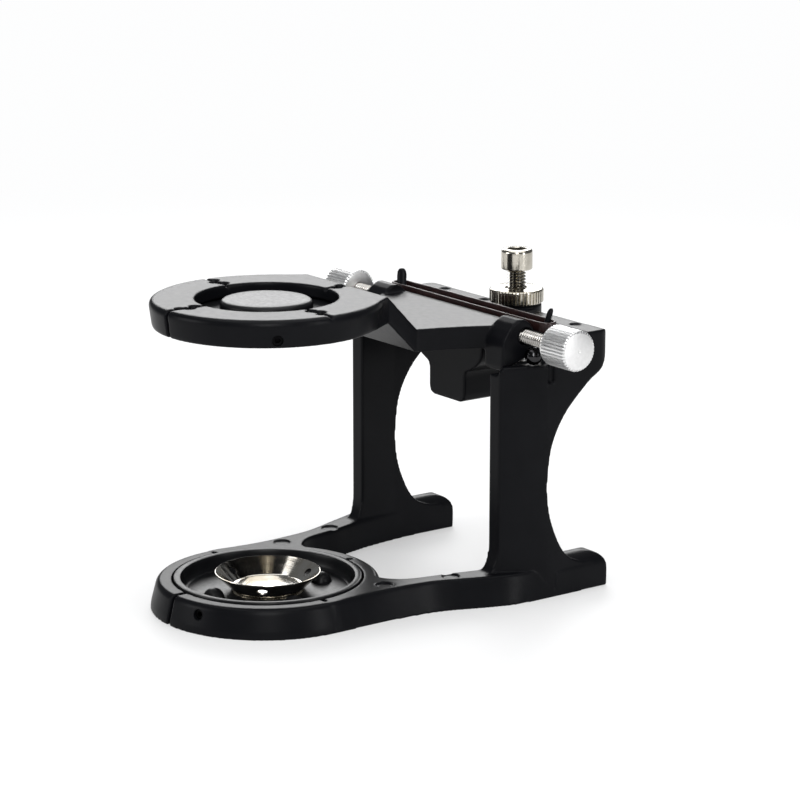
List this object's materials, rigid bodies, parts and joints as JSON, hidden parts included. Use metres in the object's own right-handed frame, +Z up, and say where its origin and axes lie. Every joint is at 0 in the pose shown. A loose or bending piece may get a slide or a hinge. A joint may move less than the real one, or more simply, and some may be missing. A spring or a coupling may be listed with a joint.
{
  "type": "dental articulator",
  "caption": "Black cast dental articulator: ring base and hinged upper ring with magnetic model plates, height screw with lock nut, side thumbscrews and a rubber band.",
  "frame": {"origin": "centre of the bounding box at floor level", "axes": "+Z up, -Y towards the open front of the rings, +Y towards the crossbar and height screw, X along the hinge axis"},
  "size_m": [0.1, 0.112, 0.08],
  "materials": {
    "black_paint": "satin black paint",
    "black_plastic": "satin",
    "magnet_nickel": "nickel plated",
    "steel": "nickel plated steel",
    "dark_steel": "blackened",
    "cup_chrome": "mirror",
    "alloy": "turned",
    "ball_chrome": "mirror",
    "band_rubber": "matt"
  },
  "bodies": {
    "frame": {"base_frame": "black_paint", "bearing_ball_right": "ball_chrome", "bearing_ball_left": "ball_chrome", "rubber_band": "band_rubber"},
    "lower_plate": {"lower_mounting_plate": "black_plastic", "lower_magnet": "magnet_nickel", "lower_magnet_screw": "steel"},
    "cup": {"retention_cup": "cup_chrome"},
    "upper": {"upper_frame": "black_paint", "stop_pad": "steel"},
    "upper_plate": {"upper_mounting_plate": "black_plastic", "upper_magnet": "magnet_nickel", "upper_magnet_screw": "steel"},
    "height_screw": {"height_screw": "steel"},
    "lock_nut": {"lock_nut": "steel"},
    "thumbscrew_right": {"thumbscrew_knob_right": "alloy", "thumbscrew_stud_right": "steel"},
    "thumbscrew_left": {"thumbscrew_knob_left": "alloy", "thumbscrew_stud_left": "steel"},
    "lower_set_screw": {"lower_ring_set_screw": "dark_steel"},
    "upper_set_screw": {"upper_ring_set_screw": "dark_steel"}
  },
  "joints": [
    {"name": "upper_opening", "type": "hinge", "parent": "frame", "child": "upper", "pos_m": [0, 0.0289, 0.0651], "axis": [-1, 0, 0], "range_deg": [0, 52]},
    {"name": "height_screw_travel", "type": "slide", "parent": "frame", "child": "height_screw", "axis": [0, 0, 1], "range_m": [0, 0.006]},
    {"name": "lock_nut_turn", "type": "hinge", "parent": "frame", "child": "lock_nut", "pos_m": [0, 0.0491, 0.068], "axis": [0, 0, 1], "continuous": true},
    {"name": "thumbscrew_right_travel", "type": "slide", "parent": "upper", "child": "thumbscrew_right", "axis": [1, 0, 0], "range_m": [-0.002, 0.003]},
    {"name": "thumbscrew_left_travel", "type": "slide", "parent": "upper", "child": "thumbscrew_left", "axis": [-1, 0, 0], "range_m": [-0.002, 0.003]},
    {"name": "lower_plate_lift", "type": "slide", "parent": "frame", "child": "lower_plate", "axis": [0, 0, 1], "range_m": [0, 0.02]},
    {"name": "cup_lift", "type": "slide", "parent": "lower_plate", "child": "cup", "axis": [0, 0, 1], "range_m": [0, 0.03]},
    {"name": "upper_plate_drop", "type": "slide", "parent": "upper", "child": "upper_plate", "axis": [0, 0, -1], "range_m": [0, 0.012]},
    {"name": "lower_set_screw_travel", "type": "slide", "parent": "frame", "child": "lower_set_screw", "axis": [0.342, -0.9397, 0], "range_m": [0, 0.0015]},
    {"name": "upper_set_screw_travel", "type": "slide", "parent": "upper", "child": "upper_set_screw", "axis": [0.8829, -0.4695, 0], "range_m": [0, 0.0015]}
  ]
}
